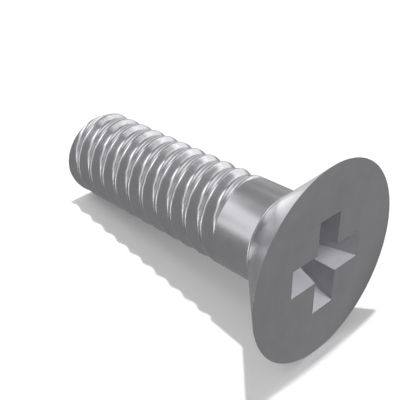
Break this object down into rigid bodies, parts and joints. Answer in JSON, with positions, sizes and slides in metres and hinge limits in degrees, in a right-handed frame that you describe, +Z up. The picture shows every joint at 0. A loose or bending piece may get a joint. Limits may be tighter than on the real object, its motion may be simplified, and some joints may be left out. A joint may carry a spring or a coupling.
{
  "type": "countersunk self-tapping screw",
  "caption": "Countersunk self-tapping screw with a cross recess, short plain neck, right-hand two-start thread and flat cut tip, lying on its side.",
  "frame": {"origin": "middle of the screw's footprint box, on the surface that it lies on", "axes": "+Z up, +X towards the head; the screw's axis lies in the XZ plane and rises 9.61 degrees towards the head"},
  "size_m": [0.0212, 0.0124, 0.0123],
  "materials": {
    "steel": "bright cold-formed steel, clear zinc plated, satin"
  },
  "bodies": {
    "root": {"screw": "steel"}
  },
  "joints": []
}
